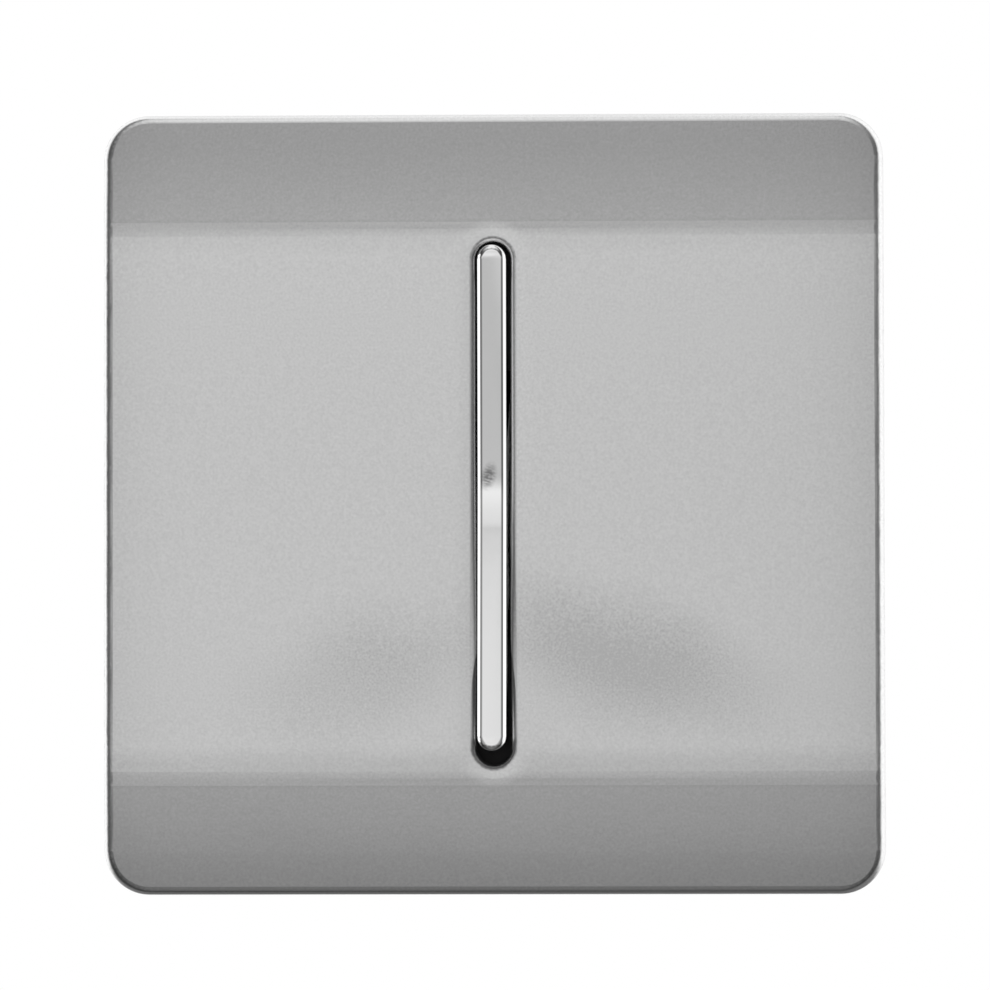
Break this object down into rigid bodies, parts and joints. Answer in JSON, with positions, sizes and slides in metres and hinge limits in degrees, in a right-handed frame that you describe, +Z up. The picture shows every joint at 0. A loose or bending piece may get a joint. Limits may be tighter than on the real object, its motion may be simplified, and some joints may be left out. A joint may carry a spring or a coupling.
{
  "type": "rocker light switch",
  "caption": "Wall light switch with a satin silver square plate, fallen-back top and bottom bands and a slim chrome rocker upright in a slot.",
  "frame": {"origin": "middle of the two fixing holes, in the wall plane against which the mounting frame sits", "axes": "+Y points into the wall box and -Y to the room, +Z is up, +X is to the right as seen from the room"},
  "size_m": [0.087, 0.033, 0.087],
  "materials": {
    "plate": "satin silver metallic coating, brushed steel effect, on moulded polycarbonate",
    "rocker": "bright chrome plating on moulded plastic",
    "frame": "satin",
    "body": "satin",
    "plunger": "satin",
    "brass": "satin",
    "silver": "satin silver alloy",
    "steel": "zinc plated, satin"
  },
  "bodies": {
    "base": {"front_plate": "plate", "mounting_frame": "frame", "body_screws": "steel", "switch_body": "body", "switch_cover": "frame", "contact_tip_l1": "silver", "contact_tip_l2": "silver", "contact_strip_l1": "brass", "contact_strip_l2": "brass", "common_strip": "brass", "terminal_block_l1": "brass", "terminal_block_l2": "brass", "terminal_block_com": "brass"},
    "rocker": {"rocker": "rocker", "plunger_spring": "steel"},
    "plunger": {"plunger": "plunger"},
    "moving_contact": {"contact_rocker": "brass", "moving_tips": "silver"},
    "terminal_screw_l1": {"terminal_screw_l1": "steel"},
    "terminal_screw_l2": {"terminal_screw_l2": "steel"},
    "terminal_screw_com": {"terminal_screw_com": "steel"}
  },
  "joints": [
    {"name": "rocker_tilt", "type": "hinge", "parent": "base", "child": "rocker", "pos_m": [0, -0.0005, 0], "axis": [1, 0, 0], "range_deg": [0, 7]},
    {"name": "contact_rock", "type": "hinge", "parent": "base", "child": "moving_contact", "pos_m": [0, 0.012, 0], "axis": [1, 0, 0], "range_deg": [-14, 0]},
    {"name": "plunger_slide", "type": "slide", "parent": "rocker", "child": "plunger", "axis": [0, -0.9981, 0.061], "range_m": [0, 0.0008], "stiffness_N_per_m": 400, "springref_m": -0.002, "deforming": ["plunger_spring"]},
    {"name": "terminal_screw_l1_slide", "type": "slide", "parent": "base", "child": "terminal_screw_l1", "axis": [0, -1, 0], "range_m": [0, 0.0028]},
    {"name": "terminal_screw_l2_slide", "type": "slide", "parent": "base", "child": "terminal_screw_l2", "axis": [0, -1, 0], "range_m": [0, 0.0028]},
    {"name": "terminal_screw_com_slide", "type": "slide", "parent": "base", "child": "terminal_screw_com", "axis": [0, -1, 0], "range_m": [0, 0.0028]}
  ],
  "couplings": [
    {"joint": "contact_rock", "follows": "rocker_tilt", "ratio": -2}
  ]
}
